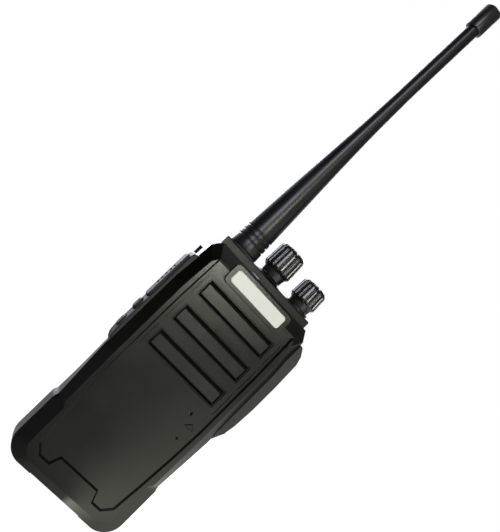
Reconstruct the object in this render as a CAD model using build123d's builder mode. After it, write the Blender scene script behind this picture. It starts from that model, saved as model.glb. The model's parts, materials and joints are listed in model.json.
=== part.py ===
from build123d import *
from math import cos, radians, sin
import os

# Handheld two-way radio: housing, controls, antenna, battery pack and belt clip, in millimetres.
# Frame: +X to the right seen from the front, +Y to the back, +Z up. The origin is on the flat
# underside, in the middle of the width.

os.makedirs("parts", exist_ok=True)

# ---- driving dimensions -------------------------------------------------------------------
# housing, front to back
face_y = -17.0          # raised border of the front
rim_y = -12.4           # widest line, behind the front bevel
side_y = -2.0           # end of the drafted side
back_y = 2.0            # open back edge of the front case
panel_depth = 0.8       # front panel, sunk behind its border
wall = 2.0
panel_y = face_y + panel_depth
inner_y = panel_y + wall
case_top = 122.0
waist_z = 31.0          # narrowest height, just above the bumper
bumper_top = 28.6
side_half = 29.8        # flat seats for the key bezel and the jack cover

# die-cast chassis: a plate closing the case, and a head that carries the controls
plate_y = 4.6
head_front = -8.4
head_back = 16.4
head_half = 26.6        # half width as far back as the shoulder; the back is narrower
head_back_half = 23.0
head_shoulder = -1.0
head_top = 126.0
head_foot = 101.3
head_roof = 122.8
head_wall = 1.6

# speaker windows, the sloping frames in them and the bars inside
window_w, window_h = 39.8, 9.4
bar_w, bar_h = 38.4, 6.4
bar_drop = 0.2          # the bars sit a little below the middle of their windows
slot_w = 0.7
window_gap = 0.3
window_pitch = 14.35
window_zs = [103.2 - window_pitch * k for k in range(3)]
speaker_z = window_zs[1]
speaker_r = 18.0

# soft field below the windows
field_foot, field_h = 24.0, 38.6
field_tilt = radians(0.75)

# microphone hole and light
mic_x, mic_z = 15.4, 62.6
mic_hole_r = 0.85
led_x = (-8.5, -3.9)

# badge on a raised frame
badge_x, badge_z = 0.2, 115.7
badge_w, badge_h = 29.6, 6.3
frame_w, frame_h = 33.8, 9.4

# top controls: middle in x, skirt and neck radius, underside and top of the skirt, foot of the mound,
# half width of the body under the roof
channel = {"x": 1.5, "r": 7.15, "neck": 6.0, "foot": 131.6, "top": 143.7, "mound": 9.3, "half": 5.4}
volume = {"x": 20.2, "r": 6.95, "neck": 5.9, "foot": 130.6, "top": 140.4, "mound": 6.3, "half": 3.7}
crown_h = 2.6
shaft_r = 3.0
bushing_r = 3.6
mound_h = 1.4
neck_foot = head_top + mound_h + 0.35
flutes = 14

# antenna
antenna_x = -15.6
antenna_foot = 127.0
antenna_tip = 287.6
whip_r = 3.2
cap_r = 4.35
cap_foot = 273.4
socket_r = 3.2

# keys on the left side
bezel_x = -32.2
bezel_wall = 1.3
bezel_y = (-12.6, -2.4)
bezel_z = (60.2, 110.4)
key_gap = 0.35
key_lip = 0.7           # how far the retaining flange of a key reaches under the bezel
flange_x = (-30.6, -30.0)
flange_room_x = -28.9   # floor of the pocket that a flange moves into
keys = [
    {"name": "ptt_button", "z": (84.0, 108.0), "y": (-11.2, -3.8), "x": -33.1, "plungers": (90.0, 102.0)},
    {"name": "side_key_upper", "z": (76.3, 81.5), "y": (-10.2, -4.8), "x": -33.3, "plungers": (78.9,)},
    {"name": "side_key_lower", "z": (66.6, 71.8), "y": (-10.2, -4.8), "x": -32.9, "plungers": (69.2,)},
]

key_y = -7.5

# accessory jacks on the right side: height, bore radius, sleeve radius
jack_y = -5.2
jack_face = 29.0
jack_depth = 15.0
jacks = [(97.3, 1.8, 2.6), (85.5, 1.3, 2.2)]
cover_x = 30.15
cover_y = (-12.6, -1.2)
cover_z = (60.8, 116.2)
hinge_x, hinge_z = 33.9, 66.8
hinge_gap = 0.06

# battery pack on its two rails
pack_front = 4.95
pack_split = 8.6
pack_back = 18.0
pack_half = 27.6        # half width at the front; the back is narrower
pack_back_half = 22.4
pack_wall = 1.6
pack_top = 100.8
rail_x = 23.5
rail_gap = 0.35

# belt clip
clip_y, clip_z = 21.6, 113.0
clip_pin_r = 1.2
clip_half = 8.7


# ---- helpers ------------------------------------------------------------------------------
def facing(y):
    """Sketch plane at depth y, read from the front: sketch x is +X, sketch y is +Z, normal is -Y."""
    return Plane(origin=(0, y, 0), x_dir=(1, 0, 0), z_dir=(0, -1, 0))


def sideways(x):
    """Sketch plane at width x: sketch x is +Y, sketch y is +Z, normal is +X."""
    return Plane(origin=(x, 0, 0), x_dir=(0, 1, 0), z_dir=(1, 0, 0))


def span(x, y, z, mode=Mode.ADD):
    """A box between two planes on each axis, joined to the part being built."""
    with Locations(((x[0] + x[1]) / 2, (y[0] + y[1]) / 2, (z[0] + z[1]) / 2)):
        Box(x[1] - x[0], y[1] - y[0], z[1] - z[0], mode=mode)


def upright(x, y, z0, z1, radius, mode=Mode.ADD, tip_radius=None):
    """A round post, or a cone if tip_radius is given, from height z0 to z1."""
    middle = (x, y, (z0 + z1) / 2)
    with Locations(middle):
        if tip_radius is None:
            Cylinder(radius, z1 - z0, mode=mode)
        else:
            Cone(radius, tip_radius, z1 - z0, mode=mode)


def along_y(x, z, y0, y1, radius, mode=Mode.ADD):
    """A round post along Y."""
    with Locations(Location((x, (y0 + y1) / 2, z), (90, 0, 0))):
        Cylinder(radius, y1 - y0, mode=mode)


def along_x(y, z, x0, x1, radius, mode=Mode.ADD):
    """A round post along X."""
    with Locations(Location(((x0 + x1) / 2, y, z), (0, 90, 0))):
        Cylinder(radius, x1 - x0, mode=mode)


def outline(half, waist, foot, upper, bottom, top, corner, shoulder_x, shoulder_z):
    """The radio's front outline: a foot with rounded corners, a waist above it and cut top shoulders."""
    with BuildSketch(Plane.XY) as shape:
        with BuildLine():
            Line((0, bottom), (foot - corner, bottom))
            JernArc((foot - corner, bottom), (1, 0), corner, 90)
            Polyline((foot, bottom + corner), (foot, bumper_top), (waist, waist_z), (half, 58), (half, 98),
                     (upper, shoulder_z), (shoulder_x, top), (0, top))
            mirror(about=Plane.YZ)
        make_face()
    return shape.sketch


def plan(front, back, front_half, back_half, shoulder, corner, grow=0.0):
    """An outline seen from above: straight sides up to the shoulder, then narrowing to a round back."""
    with BuildSketch(Plane.XY) as shape:
        with BuildLine():
            Polyline((0, front), (front_half, front), (front_half, shoulder), (back_half, back), (0, back))
            mirror(about=Plane.YZ)
        make_face()
        fillet(shape.vertices().group_by(Axis.Y)[-1], corner)
        if grow:
            offset(amount=grow, kind=Kind.INTERSECTION)
    return shape.sketch


def panel_outline(grow):
    """The sunk front panel, with its two short tabs at the foot, grown outwards by grow."""
    with BuildSketch(Plane.XY) as shape:
        with BuildLine():
            Polyline((0, 14.3), (10.6, 14.3), (12.6, 9.4), (17.0, 9.4), (20.4, 13.0), (21.6, 26.0),
                     (22.9, 44.0), (23.6, 60.0), (23.6, 92.0), (23.0, 115.0), (0, 115.0))
            mirror(about=Plane.YZ)
        make_face()
        if grow:
            offset(amount=grow, kind=Kind.INTERSECTION)
        with Locations((badge_x, badge_z)):
            RectangleRounded(frame_w, frame_h, 1.9, mode=Mode.SUBTRACT)
    return shape.sketch


def finish(part, name):
    """Label a finished piece and write it to its STEP file."""
    part.label = name
    export_step(part, f"parts/{name}.step")


# ---- front case ---------------------------------------------------------------------------
face = outline(26.4, 25.9, 24.3, 25.4, 4.6, 115.8, 7.0, 23.4, 112.6)
rim = outline(31.0, 29.3, 30.0, 29.6, 0.0, case_top, 9.5, 26.6, 117.6)
side = outline(side_half, 28.8, 29.8, 29.2, 0.0, case_top, 9.5, 25.8, 116.8)
rear = outline(29.0, 28.2, 29.4, 28.6, 0.0, case_top, 9.2, 25.2, 117.0)
cavity_face = outline(22.6, 22.2, 20.8, 22.0, 7.0, 113.4, 5.5, 20.4, 110.0)
cavity_rim = outline(27.8, 26.7, 26.6, 27.2, 2.2, case_top - 2.2, 7.5, 24.6, 115.4)
cavity_rear = outline(27.0, 25.9, 25.8, 26.6, 2.2, case_top - 2.2, 7.0, 24.0, 115.4)
head_plan = plan(head_front, head_back, head_half, head_back_half, head_shoulder, 5.0)
head_notch = plan(head_front, head_back, head_half, head_back_half, head_shoulder, 5.0, grow=0.1)
head_room = plan(head_front + head_wall, head_back - head_wall, head_half - head_wall,
                 head_back_half - head_wall, head_shoulder, 3.0)

with BuildPart() as front_case:
    for near_y, near, far_y, far in ((face_y, face, rim_y, rim), (rim_y, rim, side_y, side),
                                     (side_y, side, back_y, rear)):
        with BuildSketch(facing(near_y)):
            add(near)
        with BuildSketch(facing(far_y)):
            add(far)
        loft(ruled=True)

    # raised frame around the badge
    with BuildSketch(facing(face_y - 0.5)):
        with Locations((badge_x, badge_z)):
            RectangleRounded(frame_w, frame_h, 1.9)
    extrude(amount=-6.0)

    # sunk panel with sloping walls
    with BuildSketch(facing(face_y)):
        add(panel_outline(0.9))
    with BuildSketch(facing(panel_y)):
        add(panel_outline(0))
    loft(ruled=True, mode=Mode.SUBTRACT)

    # hollow, open at the back
    with BuildSketch(facing(inner_y)):
        add(cavity_face)
    with BuildSketch(facing(rim_y + wall)):
        add(cavity_rim)
    loft(ruled=True, mode=Mode.SUBTRACT)
    with BuildSketch(facing(rim_y + wall)):
        add(cavity_rim)
    extrude(amount=rim_y + wall - side_y, mode=Mode.SUBTRACT)
    with BuildSketch(facing(side_y)):
        add(cavity_rim)
    with BuildSketch(facing(back_y)):
        add(cavity_rear)
    loft(ruled=True, mode=Mode.SUBTRACT)

    # notch that takes the chassis head
    with BuildSketch(Plane.XY.offset(116.9)):
        add(head_notch)
    extrude(amount=8, mode=Mode.SUBTRACT)

    # flat seats in the drafted sides for the key bezel and the jack cover
    span((-34, -side_half), (bezel_y[0] - 0.15, back_y + 1), (bezel_z[0] - 0.15, bezel_z[1] + 0.15),
         mode=Mode.SUBTRACT)
    span((side_half, 34), (cover_y[0] - 0.15, back_y + 1), (cover_z[0] - 0.2, cover_z[1] + 0.2),
         mode=Mode.SUBTRACT)

    # relief in the middle of the underside, at the front
    span((-13.8, 13.8), (-20, -9), (-1, 0.4), mode=Mode.SUBTRACT)

    # soft field below the windows, deepest at its top and running out towards its foot
    field_plane = Plane(origin=(0, panel_y, field_foot), x_dir=(1, 0, 0),
                        z_dir=(0, -cos(field_tilt), -sin(field_tilt)))
    with BuildSketch(field_plane):
        with Locations((0, field_h / 2)):
            RectangleRounded(40.6, field_h, 4.0)
    extrude(amount=1.0, taper=-62, mode=Mode.SUBTRACT)

    # grooved frames and the windows inside them
    with BuildSketch(facing(panel_y)):
        for z in window_zs:
            with Locations((0, z - 0.3)):
                RectangleRounded(45.0, 12.4, 1.3)
                RectangleRounded(43.8, 11.2, 0.7, mode=Mode.SUBTRACT)
    extrude(amount=-0.5, mode=Mode.SUBTRACT)
    with BuildSketch(facing(panel_y)):
        with Locations(*[(0, z) for z in window_zs]):
            RectangleRounded(window_w, window_h, 0.5)
    extrude(amount=-4, mode=Mode.SUBTRACT)

    # pocket for the badge
    with BuildSketch(facing(face_y - 0.5)):
        with Locations((badge_x, badge_z)):
            RectangleRounded(badge_w + 0.1, badge_h + 0.1, 1.45)
    extrude(amount=-0.6, mode=Mode.SUBTRACT)

    # microphone hole, vent hole and a small raised triangle between them
    along_y(mic_x, mic_z, face_y, inner_y + 1, mic_hole_r, mode=Mode.SUBTRACT)
    along_y(18.5, 51.1, face_y, panel_y + 1.6, 0.65, mode=Mode.SUBTRACT)
    with BuildSketch(facing(panel_y)):
        Polygon((16.4, 57.3), (21.8, 57.3), (19.1, 59.9), align=None)
    extrude(amount=0.45, taper=35)

    # window for the light, in the top edge
    span((led_x[0] - 0.1, led_x[1] + 0.1), (-11.8, -9.4), (118, 123), mode=Mode.SUBTRACT)

    # openings in the sides: plunger holes on the left, jack window on the right
    for key in keys:
        span((-31, flange_room_x), (key["y"][0] - key_lip - 0.3, key["y"][1] + key_lip + 0.3),
             (key["z"][0] - key_lip - 0.3, key["z"][1] + key_lip + 0.3), mode=Mode.SUBTRACT)
        for z in key["plungers"]:
            along_x(key_y, z, -31, -26, 1.6, mode=Mode.SUBTRACT)
    span((26, 31), (jack_y - 3.2, jack_y + 3.2), (81.0, 101.8), mode=Mode.SUBTRACT)

    # bosses for the chassis screws
    for x in (-17.5, 17.5):
        along_y(x, 9.5, inner_y - 0.5, back_y, 2.6)
        along_y(x, 9.5, -4, back_y + 1, 0.85, mode=Mode.SUBTRACT)
finish(front_case.part, "front_case")

with BuildPart() as badge_plate:
    with BuildSketch(facing(face_y + 0.1)):
        with Locations((badge_x, badge_z)):
            RectangleRounded(badge_w, badge_h, 1.4)
    extrude(amount=0.8)
    fillet(badge_plate.faces().sort_by(Axis.Y)[0].edges(), 0.3)
finish(badge_plate.part, "badge_plate")

with BuildPart() as led_lens:
    span(led_x, (-11.7, -9.5), (118.6, 122.7))
    fillet(led_lens.edges().filter_by(Axis.Z), 1.0)
    fillet(led_lens.faces().sort_by(Axis.Z)[-1].edges(), 0.4)
finish(led_lens.part, "led_lens")

# ---- speaker and microphone ---------------------------------------------------------------
grille_y = inner_y
frame_outer_w, frame_outer_h = window_w - 2 * window_gap, window_h - 2 * window_gap
frame_inner_w, frame_inner_h = bar_w + 0.2, bar_h + 2 * slot_w
with BuildPart() as speaker_grille:
    span((-21.5, 21.5), (grille_y, grille_y + 0.8), (67.5, 110.0))
    # a frame for each window, sloping inwards to the bar
    with BuildSketch(facing(grille_y)):
        with Locations(*[(0, z) for z in window_zs]):
            RectangleRounded(frame_outer_w, frame_outer_h, 0.4)
    extrude(amount=1.75)
    for z in window_zs:
        with BuildSketch(facing(grille_y - 1.75)):
            with Locations((0, z)):
                Rectangle(frame_outer_w - 0.5, frame_outer_h - 0.5)
        with BuildSketch(facing(grille_y - 0.75)):
            with Locations((0, z - bar_drop)):
                Rectangle(frame_inner_w, frame_inner_h)
        loft(ruled=True, mode=Mode.SUBTRACT)
    # bars, with a slot above and below each
    with BuildSketch(facing(grille_y)):
        with Locations(*[(0, z - bar_drop) for z in window_zs]):
            Rectangle(bar_w, bar_h)
    extrude(amount=1.6)
    bar_edges = [edge for edge in speaker_grille.edges()
                 if abs(edge.center().Y - (grille_y - 1.6)) < 0.01 and edge.bounding_box().size.Y < 0.01]
    chamfer(bar_edges, 0.7)
    with BuildSketch(facing(grille_y - 1)):
        for z in window_zs:
            with Locations(*[(0, z - bar_drop + tier * (bar_h + slot_w) / 2) for tier in (-1, 1)]):
                Rectangle(bar_w - 0.6, slot_w)
    extrude(amount=-2, mode=Mode.SUBTRACT)
finish(speaker_grille.part, "speaker_grille")

with BuildPart() as speaker_cloth:
    span((-21.0, 21.0), (grille_y + 0.8, grille_y + 1.1), (68.0, 109.5))
finish(speaker_cloth.part, "speaker_cloth")

basket_y = grille_y + 1.1
with BuildPart() as speaker_frame:
    along_y(0, speaker_z, basket_y, basket_y + 4.4, speaker_r)
    along_y(0, speaker_z, basket_y, basket_y + 3.4, speaker_r - 1.2, mode=Mode.SUBTRACT)
    along_y(0, speaker_z, basket_y, basket_y + 5, 6.0, mode=Mode.SUBTRACT)
    for k in range(6):
        along_y(12 * cos(radians(60 * k)), speaker_z + 12 * sin(radians(60 * k)),
                basket_y + 3, basket_y + 5, 2.4, mode=Mode.SUBTRACT)
finish(speaker_frame.part, "speaker_frame")

with BuildPart() as speaker_cone:
    with BuildSketch(Plane.XY):
        with BuildLine():
            Polyline((0.0, 0.5), (5.5, 1.3), (14.5, 0.3), (16.5, 0.3), (16.5, 0.7), (14.8, 0.7),
                     (5.6, 2.9), (5.6, 3.3), (5.0, 3.3), (5.0, 2.0), (0.0, 1.0), close=True)
        make_face()
    revolve(axis=Axis.Y)
with BuildPart() as placed_cone:
    add(speaker_cone.part.moved(Location((0, basket_y, speaker_z))))
finish(placed_cone.part, "speaker_cone")

with BuildPart() as speaker_magnet:
    along_y(0, speaker_z, basket_y + 4.4, basket_y + 6.6, 9.0)
    along_y(0, speaker_z, basket_y + 3.6, basket_y + 4.6, 4.4)
finish(speaker_magnet.part, "speaker_magnet")

with BuildPart() as mic_boot:
    along_y(mic_x, mic_z - 1.6, inner_y, inner_y + 4.2, 3.9)
    along_y(mic_x, mic_z - 1.6, inner_y + 0.8, inner_y + 5, 3.0, mode=Mode.SUBTRACT)
    along_y(mic_x, mic_z, inner_y - 1, inner_y + 1, mic_hole_r, mode=Mode.SUBTRACT)
finish(mic_boot.part, "mic_boot")

with BuildPart() as mic_capsule:
    along_y(mic_x, mic_z - 1.6, inner_y + 1.2, inner_y + 4.0, 2.95)
    along_y(mic_x, mic_z - 1.6, inner_y + 4.0, inner_y + 4.5, 2.2)
finish(mic_capsule.part, "mic_capsule")

# ---- chassis ------------------------------------------------------------------------------
plate_shape = outline(28.0, 27.2, 28.4, 27.6, 0.5, 117.0, 8.6, 26.6, 115.0)
with BuildPart() as rear_chassis:
    with BuildSketch(facing(back_y)):
        add(plate_shape)
    extrude(amount=back_y - plate_y)
    # head
    with BuildSketch(Plane.XY.offset(117.0)):
        add(head_plan)
    extrude(amount=head_top - 117.0)
    fillet(rear_chassis.faces().sort_by(Axis.Z)[-1].edges(), 0.8)
    with BuildSketch(Plane.XY.offset(head_foot)):
        add(head_plan)
        with Locations((0, plate_y)):
            Rectangle(80, 40, align=(Align.CENTER, Align.MAX), mode=Mode.SUBTRACT)
    extrude(amount=117.0 - head_foot)
    with BuildSketch(Plane.XY.offset(112.0)):
        add(head_room)
    extrude(amount=head_roof - 112.0, mode=Mode.SUBTRACT)
    with BuildSketch(Plane.XY.offset(head_foot + 2)):
        add(head_room)
        with Locations((0, plate_y)):
            Rectangle(80, 40, align=(Align.CENTER, Align.MAX), mode=Mode.SUBTRACT)
    extrude(amount=113.0 - head_foot - 2, mode=Mode.SUBTRACT)
    # mounds under the knobs, with a pocket for each nut
    for control in (channel, volume):
        upright(control["x"], 0, head_top, head_top + mound_h, control["mound"],
                tip_radius=control["neck"] + 0.5)
        upright(control["x"], 0, head_top - 1.4, head_top + 3, 5.2, mode=Mode.SUBTRACT)
        upright(control["x"], 0, head_roof - 1, head_top + 3, bushing_r + 0.03, mode=Mode.SUBTRACT)
    upright(antenna_x, 0, head_roof - 1, head_top + 3, socket_r + 0.03, mode=Mode.SUBTRACT)
    # rails for the battery pack
    for side in (-1, 1):
        for reach, thick in ((0.6, (plate_y, 6.3)), (1.5, (6.3, 7.3))):
            x = sorted((side * (rail_x - reach), side * (rail_x + reach)))
            span(x, thick, (5.0, 97.0))
    # small lug on the left shoulder
    span((-30.0, -27.0), (2.2, 4.6), (111.4, 115.4))
    # screw seats
    for x in (-17.5, 17.5):
        along_y(x, 9.5, 1, 6, 1.1, mode=Mode.SUBTRACT)
        along_y(x, 9.5, 3.4, 6, 2.1, mode=Mode.SUBTRACT)
    # window for the battery contacts
    span((-8.1, 8.1), (1, 6), (91.4, 96.6), mode=Mode.SUBTRACT)
    # screw holes for the belt clip
    for x in (-6.5, 6.5):
        along_y(x, 119.0, head_back - 3, head_back + 1, 1.2, mode=Mode.SUBTRACT)
finish(rear_chassis.part, "rear_chassis")

with BuildPart() as chassis_screws:
    for x in (-17.5, 17.5):
        along_y(x, 9.5, 3.4, 4.5, 2.0)
        along_y(x, 9.5, -3.6, 3.4, 0.82)
        span((x - 1.3, x + 1.3), (4.1, 5), (9.3, 9.7), mode=Mode.SUBTRACT)
        span((x - 0.2, x + 0.2), (4.1, 5), (8.2, 10.8), mode=Mode.SUBTRACT)
finish(chassis_screws.part, "chassis_screws")

seal_outer = outline(26.8, 25.7, 25.6, 26.4, 2.5, 111.6, 6.6, 25.0, 109.0)
seal_inner = outline(25.6, 24.5, 24.4, 25.2, 3.7, 110.4, 5.4, 24.2, 108.6)
with BuildPart() as case_seal:
    with BuildSketch(facing(back_y)):
        add(seal_outer)
        add(seal_inner, mode=Mode.SUBTRACT)
        for x in (-17.5, 17.5):
            with Locations((x, 9.5)):
                Circle(2.7, mode=Mode.SUBTRACT)
    extrude(amount=1.0)
finish(case_seal.part, "case_seal")

# ---- electronics --------------------------------------------------------------------------
board_y = (-1.4, -0.2)
with BuildPart() as main_board:
    span((-25.0, 25.0), board_y, (4.6, 104.0))
    fillet(main_board.edges().filter_by(Axis.Y), 2.0)
    for x in (-17.5, 17.5):
        along_y(x, 9.5, -3, 1, 3.0, mode=Mode.SUBTRACT)
finish(main_board.part, "main_board")

with BuildPart() as shield_cans:
    for x, z in (((-23, -1), (16, 38)), ((2, 23), (16, 58)), ((-23, -1), (41, 64))):
        span(x, (board_y[0] - 2.6, board_y[0]), z)
finish(shield_cans.part, "shield_cans")

with BuildPart() as board_chips:
    for x, z, half in ((-8, 10, 3), (6, 9, 2)):
        span((x - half, x + half), (board_y[0] - 1.0, board_y[0]), (z - half, z + half))
    for k in range(5):
        span((-22 + 4 * k, -20 + 4 * k), (board_y[1], board_y[1] + 0.8), (60, 63))
finish(board_chips.part, "board_chips")

with BuildPart() as contact_block:
    span((-8.0, 8.0), (board_y[1], 4.4), (91.5, 96.5))
    for x in (-5.4, -1.8, 1.8, 5.4):
        along_y(x, 94.0, 1, 6, 0.85, mode=Mode.SUBTRACT)
finish(contact_block.part, "contact_block")

with BuildPart() as contact_pins:
    for x in (-5.4, -1.8, 1.8, 5.4):
        along_y(x, 94.0, 1.2, 5.15, 0.8)
    fillet(contact_pins.faces().sort_by(Axis.Y)[-4:].edges(), 0.35)
finish(contact_pins.part, "contact_pins")

with BuildPart() as jack_block:
    span((jack_face - jack_depth, jack_face), (jack_y - 3.0, jack_y + 3.0), (81.2, 101.6))
    for z, bore, sleeve in jacks:
        along_x(jack_y, z, jack_face - jack_depth - 1, jack_face + 1, sleeve, mode=Mode.SUBTRACT)
finish(jack_block.part, "jack_block")

with BuildPart() as jack_sleeves:
    for z, bore, sleeve in jacks:
        along_x(jack_y, z, jack_face - jack_depth, jack_face, sleeve)
        along_x(jack_y, z, jack_face - jack_depth - 1, jack_face + 1, bore, mode=Mode.SUBTRACT)
finish(jack_sleeves.part, "jack_sleeves")

with BuildPart() as side_key_board:
    span((-26.2, -25.4), (-10.5, -4.5), (62.0, 108.0))
finish(side_key_board.part, "side_key_board")

with BuildPart() as key_switches:
    for key in keys:
        for z in key["plungers"]:
            span((-26.9, -26.2), (-9.7, -5.3), (z - 2.2, z + 2.2))
            along_x(key_y, z, -27.3, -26.9, 1.0)
finish(key_switches.part, "key_switches")

# ---- top controls -------------------------------------------------------------------------
for control, name in ((channel, "channel_switch"), (volume, "volume_control")):
    x = control["x"]
    with BuildPart() as body:
        half = control["half"]
        span((x - half, x + half), (-5.4, 3.4), (114.6, head_roof))
        upright(x, 0, head_roof, head_top + 0.9, bushing_r)
        upright(x, 0, 113, head_top + 2, shaft_r + 0.04, mode=Mode.SUBTRACT)
        for k in (-1, 0, 1):
            span((x + 2.5 * k - 0.4, x + 2.5 * k + 0.4), (-4.0, -3.4), (112.6, 114.6))
    finish(body.part, name)

for control, name in ((channel, "channel_shaft"), (volume, "volume_shaft")):
    x = control["x"]
    tip = control["top"] - 3.2
    with BuildPart() as shaft:
        upright(x, 0, 114.8, tip, shaft_r)
        span((x - 4, x + 4), (-4, -1.6), (control["foot"] + 0.6, tip + 1), mode=Mode.SUBTRACT)
    finish(shaft.part, name)

for control, name in ((channel, "channel_knob"), (volume, "volume_knob")):
    r, neck, foot, top = control["r"], control["neck"], control["foot"], control["top"]
    tip = top - 3.2
    with BuildPart() as knob:
        with BuildSketch(Plane.XZ):
            with BuildLine():
                Polyline((0, neck_foot), (neck - 0.3, neck_foot), (neck, foot - 0.9), (r, foot + 0.7),
                         (r - 0.4, top - crown_h))
                ThreePointArc((r - 0.4, top - crown_h), (r - 1.1, top - 0.75), (r - 3.0, top))
                Polyline((r - 3.0, top), (0, top), (0, neck_foot))
            make_face()
        revolve(axis=Axis.Z)
        with PolarLocations(r + 0.4, flutes):
            with Locations((0, 0, top)):
                Cylinder(1.05, 2 * (top - foot - 1.8), mode=Mode.SUBTRACT)
        upright(0, 0, neck_foot - 1, foot - 1.0, 4.7, mode=Mode.SUBTRACT)
        # D-shaped bore
        with BuildSketch(Plane.XY.offset(foot - 4)):
            Circle(shaft_r + 0.02)
            with Locations((0, -1.62 - 5)):
                Rectangle(10, 10, mode=Mode.SUBTRACT)
        extrude(amount=tip + 0.2 - (foot - 4), mode=Mode.SUBTRACT)
        upright(0, 0, foot - 4, foot + 0.6, shaft_r + 0.02, mode=Mode.SUBTRACT)
        # pointer notch in the crown
        span((-0.5, 0.5), (-r, -2.6), (top - 0.5, top + 1), mode=Mode.SUBTRACT)
    with BuildPart() as placed_knob:
        add(knob.part.moved(Location((control["x"], 0, 0))))
    finish(placed_knob.part, name)

with BuildPart() as control_nuts:
    for control in (channel, volume):
        upright(control["x"], 0, head_top - 1.4, head_top + 0.6, 4.6)
        upright(control["x"], 0, head_top - 2, head_top + 2, bushing_r + 0.02, mode=Mode.SUBTRACT)
        for side in (-1, 1):
            with Locations((control["x"] + side * 4.6, 0, head_top)):
                Box(0.8, 1.2, 4, mode=Mode.SUBTRACT)
finish(control_nuts.part, "control_nuts")

# ---- antenna ------------------------------------------------------------------------------
with BuildPart() as antenna_socket:
    upright(antenna_x, 0, 118.5, head_roof, 5.2)
    upright(antenna_x, 0, head_roof, 132.0, socket_r)
    upright(antenna_x, 0, 124, 133, 2.2, mode=Mode.SUBTRACT)
    upright(antenna_x, 0, 116.8, 118.5, 0.6)
finish(antenna_socket.part, "antenna_socket")

with BuildPart() as antenna_insulator:
    upright(antenna_x, 0, 124, 129.0, 2.2)
    upright(antenna_x, 0, 123, 130, 0.7, mode=Mode.SUBTRACT)
finish(antenna_insulator.part, "antenna_insulator")

with BuildPart() as antenna_seal:
    upright(antenna_x, 0, head_top, antenna_foot, 7.3)
    upright(antenna_x, 0, head_top - 1, antenna_foot + 1, socket_r, mode=Mode.SUBTRACT)
    fillet(antenna_seal.faces().sort_by(Axis.Z)[-1].edges().sort_by(SortBy.LENGTH)[-1], 0.4)
finish(antenna_seal.part, "antenna_seal")

with BuildPart() as antenna_ferrule:
    upright(antenna_x, 0, antenna_foot + 0.2, 138.0, 5.0)
    upright(antenna_x, 0, antenna_foot, 133.0, socket_r + 0.04, mode=Mode.SUBTRACT)
    upright(antenna_x, 0, 132, 139.0, 0.9, mode=Mode.SUBTRACT)
finish(antenna_ferrule.part, "antenna_ferrule")

with BuildPart() as antenna_core:
    upright(antenna_x, 0, 129.4, 280.0, 0.9)
    upright(antenna_x, 0, 124.4, 129.4, 0.65)
finish(antenna_core.part, "antenna_core")

groove_zs = (131.7, 134.4, 137.1)
with BuildPart() as sheath_shape:
    with BuildSketch(Plane.XZ):
        with BuildLine():
            Polyline((5.0, 138.0), (5.0, antenna_foot), (7.3, antenna_foot), (7.45, antenna_foot + 0.8))
            previous = (7.45, antenna_foot + 0.8)
            for z in groove_zs:
                wall_r = 7.43 - 0.04 * (z - antenna_foot)
                Line(previous, (wall_r, z - 0.6))
                ThreePointArc((wall_r, z - 0.6), (wall_r - 0.4, z), (wall_r - 0.05, z + 0.6))
                previous = (wall_r - 0.05, z + 0.6)
            Line(previous, (6.95, 138.5))
            Spline((6.95, 138.5), (6.2, 155.0), (5.0, 178.0), (3.7, 205.0), (whip_r, 228.0),
                   tangents=[(-0.04, 1), (0, 1)])
            Polyline((whip_r, 228.0), (whip_r, cap_foot), (2.7, cap_foot), (2.7, 285.0), (0, 285.0),
                     (0, 280.0), (0.9, 280.0), (0.9, 138.0), (5.0, 138.0))
        make_face()
    revolve(axis=Axis.Z)
with BuildPart() as antenna_sheath:
    add(sheath_shape.part.moved(Location((antenna_x, 0, 0))))
finish(antenna_sheath.part, "antenna_sheath")

with BuildPart() as antenna_cap:
    upright(antenna_x, 0, cap_foot, antenna_tip, cap_r)
    chamfer(antenna_cap.faces().sort_by(Axis.Z)[-1].edges(), 0.9)
    fillet(antenna_cap.faces().sort_by(Axis.Z)[0].edges(), 0.3)
    upright(antenna_x, 0, cap_foot - 1, 285.0, 2.7, mode=Mode.SUBTRACT)
finish(antenna_cap.part, "antenna_cap")

# ---- keys on the left side ----------------------------------------------------------------
with BuildPart() as side_key_bezel:
    with BuildSketch(facing(bezel_y[0])):
        with BuildLine():
            Polyline((-side_half, bezel_z[1]), (-31.5, bezel_z[1] - 0.5), (bezel_x, 107.6), (bezel_x, 66.0),
                     (-31.8, 62.6), (-30.5, bezel_z[0]), (-side_half, bezel_z[0]), close=True)
        make_face()
    extrude(amount=bezel_y[0] - bezel_y[1])
    rounded = [edge for edge in side_key_bezel.edges()
               if edge.center().X < -30.2 and edge.bounding_box().size.Y < 0.01]
    chamfer(rounded, 0.45)
    for key in keys:
        y = (key["y"][0] - key_gap, key["y"][1] + key_gap)
        z = (key["z"][0] - key_gap, key["z"][1] + key_gap)
        span((-36, -28), y, z, mode=Mode.SUBTRACT)
        span((bezel_x + bezel_wall, -28), (y[0] - key_lip, y[1] + key_lip), (z[0] - key_lip, z[1] + key_lip),
             mode=Mode.SUBTRACT)
finish(side_key_bezel.part, "side_key_bezel")

for key in keys:
    with BuildPart() as button:
        span((key["x"], flange_x[0] + 0.1), key["y"], key["z"])
        fillet(button.edges().filter_by(Axis.X), 1.6)
        fillet(button.faces().sort_by(Axis.X)[0].edges(), 0.6)
        # grip ridges across the long button
        if key["name"] == "ptt_button":
            with BuildSketch(sideways(key["x"])):
                with Locations(*[(key_y, 96 + 2.4 * k) for k in (-2, -1, 0, 1, 2)]):
                    SlotOverall(4.4, 0.9)
            extrude(amount=0.35, mode=Mode.SUBTRACT)
        # retaining flange and plungers
        span(flange_x, (key["y"][0] - key_lip, key["y"][1] + key_lip),
             (key["z"][0] - key_lip, key["z"][1] + key_lip))
        for z in key["plungers"]:
            along_x(key_y, z, flange_x[1] - 0.1, -28.5, 1.2)
    finish(button.part, key["name"])

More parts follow.
